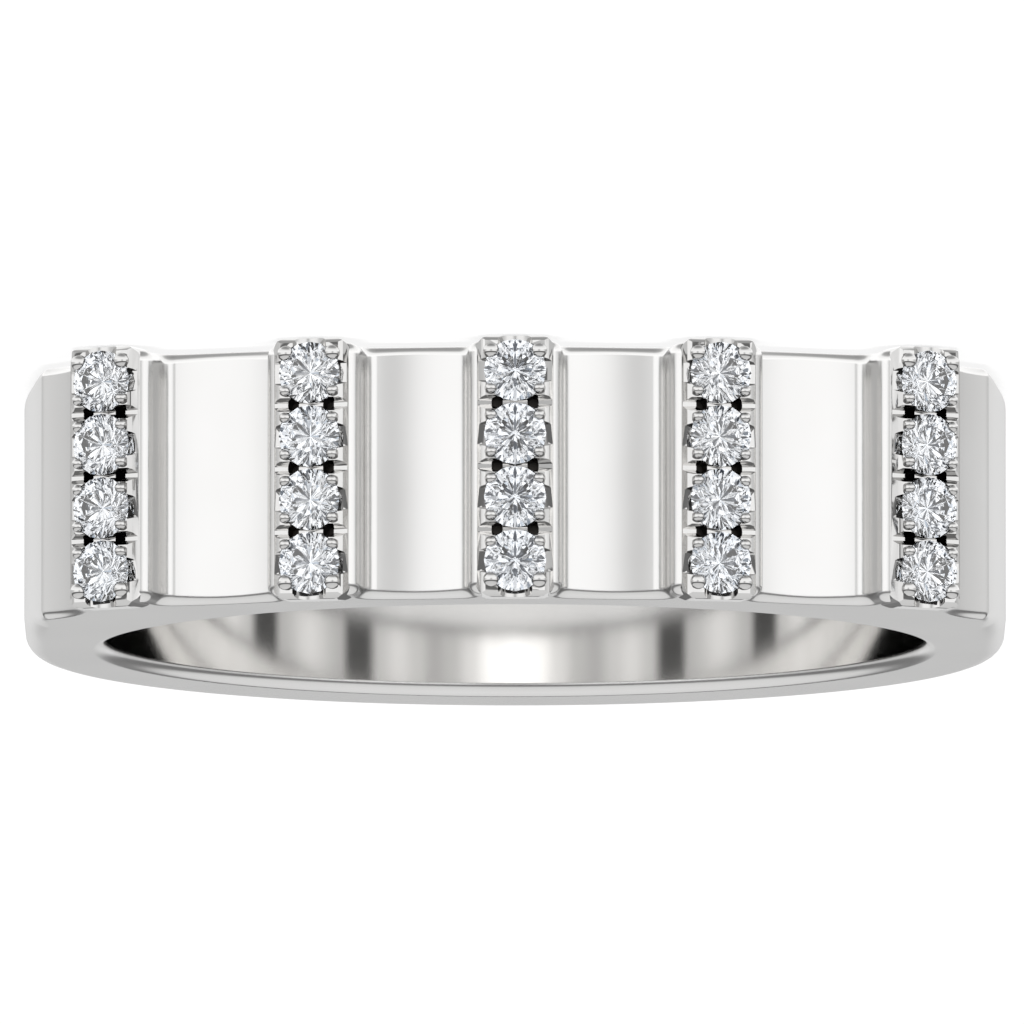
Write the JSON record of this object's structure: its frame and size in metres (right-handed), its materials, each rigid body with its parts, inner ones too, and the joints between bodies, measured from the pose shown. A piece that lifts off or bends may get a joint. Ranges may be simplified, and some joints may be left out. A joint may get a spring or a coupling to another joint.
{
  "type": "diamond band ring",
  "caption": "Broad polished white gold ring with a fluted head; the raised ridges between its flutes are each set with a row of round brilliants.",
  "frame": {"origin": "middle of the finger hole, half way along the band's width", "axes": "+Z along the finger hole, -Y out through the middle of the head, +X to the right as the head is seen from -Y"},
  "size_m": [0.0206, 0.0225, 0.0054],
  "materials": {
    "white_gold": "mirror polished",
    "diamond": "faceted and polished"
  },
  "bodies": {
    "root": {"band": "white_gold", "diamond_c1_r1": "diamond", "diamond_c1_r2": "diamond", "diamond_c1_r3": "diamond", "diamond_c1_r4": "diamond", "diamond_c2_r1": "diamond", "diamond_c2_r2": "diamond", "diamond_c2_r3": "diamond", "diamond_c2_r4": "diamond", "diamond_c3_r1": "diamond", "diamond_c3_r2": "diamond", "diamond_c3_r3": "diamond", "diamond_c3_r4": "diamond", "diamond_c4_r1": "diamond", "diamond_c4_r2": "diamond", "diamond_c4_r3": "diamond", "diamond_c4_r4": "diamond", "diamond_c5_r1": "diamond", "diamond_c5_r2": "diamond", "diamond_c5_r3": "diamond", "diamond_c5_r4": "diamond"}
  },
  "joints": []
}
